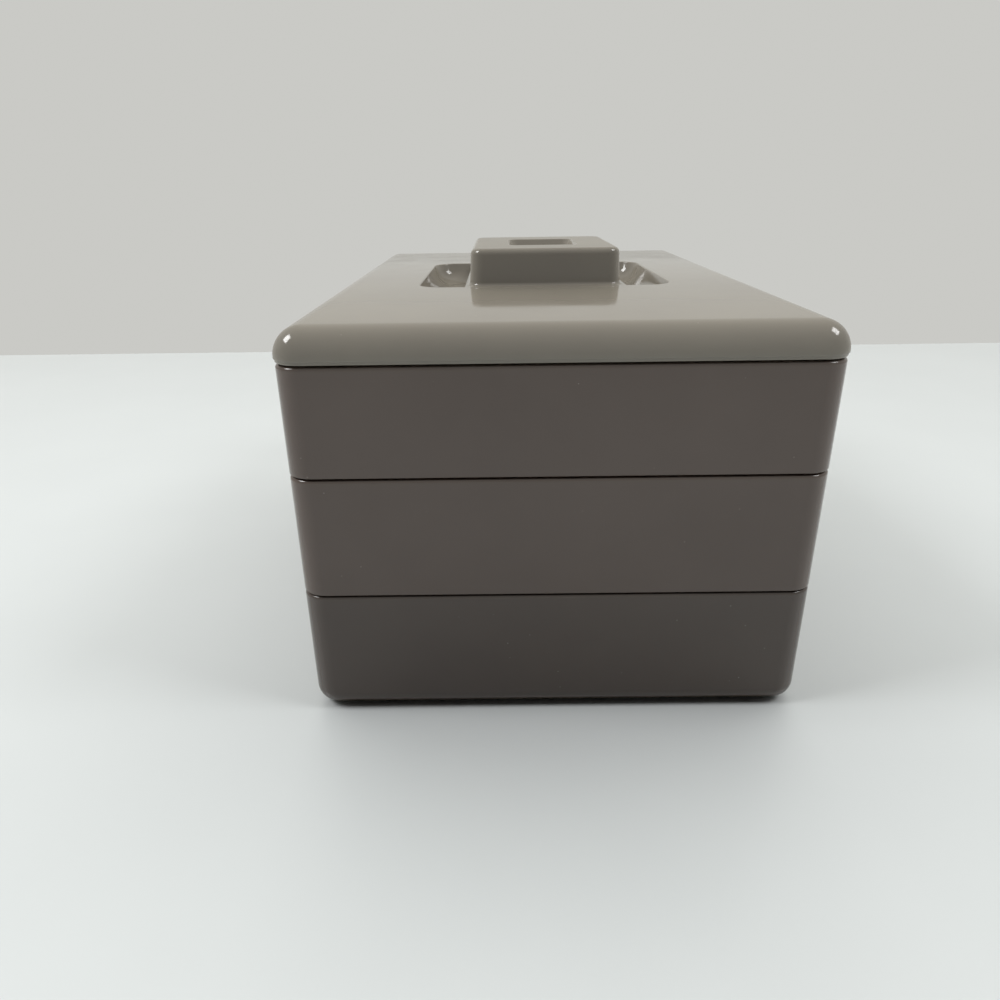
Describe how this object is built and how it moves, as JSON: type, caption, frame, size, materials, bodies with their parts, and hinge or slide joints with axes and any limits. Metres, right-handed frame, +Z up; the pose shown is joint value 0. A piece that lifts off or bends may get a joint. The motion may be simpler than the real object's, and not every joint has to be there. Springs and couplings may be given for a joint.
{
  "type": "stacking jewelry organizer",
  "caption": "Rectangular jewelry box of glossy moulded trays that stack on one another under a round-edged lid with a block handle and finger wells.",
  "frame": {"origin": "on the table, under the middle of the box", "axes": "+X to the right along the narrow front end, +Y from the front end to the back end, +Z up"},
  "size_m": [0.1326, 0.2006, 0.1139],
  "materials": {
    "taupe_plastic": "high gloss moulded styrene",
    "foot_rubber": "matte rubber",
    "flocked_pad": "short flocked pile"
  },
  "bodies": {
    "base": {"base_tray": "taupe_plastic", "base_pad_wide": "flocked_pad", "base_pad_narrow": "flocked_pad", "foot_front_left": "foot_rubber", "foot_front_right": "foot_rubber", "foot_rear_left": "foot_rubber", "foot_rear_right": "foot_rubber"},
    "middle": {"middle_tray": "taupe_plastic", "middle_pad_front_left": "flocked_pad", "middle_pad_front_right": "flocked_pad", "middle_pad_centre_left": "flocked_pad", "middle_pad_centre_right": "flocked_pad", "middle_pad_rear_left": "flocked_pad", "middle_pad_rear_right": "flocked_pad"},
    "top": {"top_tray": "taupe_plastic", "top_pad_left": "flocked_pad", "top_pad_right": "flocked_pad", "ring_bed": "flocked_pad", "ring_roll_1": "flocked_pad", "ring_roll_2": "flocked_pad", "ring_roll_3": "flocked_pad", "ring_roll_4": "flocked_pad", "ring_roll_5": "flocked_pad", "ring_roll_6": "flocked_pad", "ring_roll_7": "flocked_pad"},
    "lid": {"lid": "taupe_plastic"}
  },
  "joints": [
    {"name": "middle_tray_lift", "type": "slide", "parent": "base", "child": "middle", "axis": [0, 0, 1], "range_m": [0, 0.09]},
    {"name": "top_tray_lift", "type": "slide", "parent": "middle", "child": "top", "axis": [0, 0, 1], "range_m": [0, 0.09]},
    {"name": "lid_lift", "type": "slide", "parent": "top", "child": "lid", "axis": [0, 0, 1], "range_m": [0, 0.09]}
  ]
}
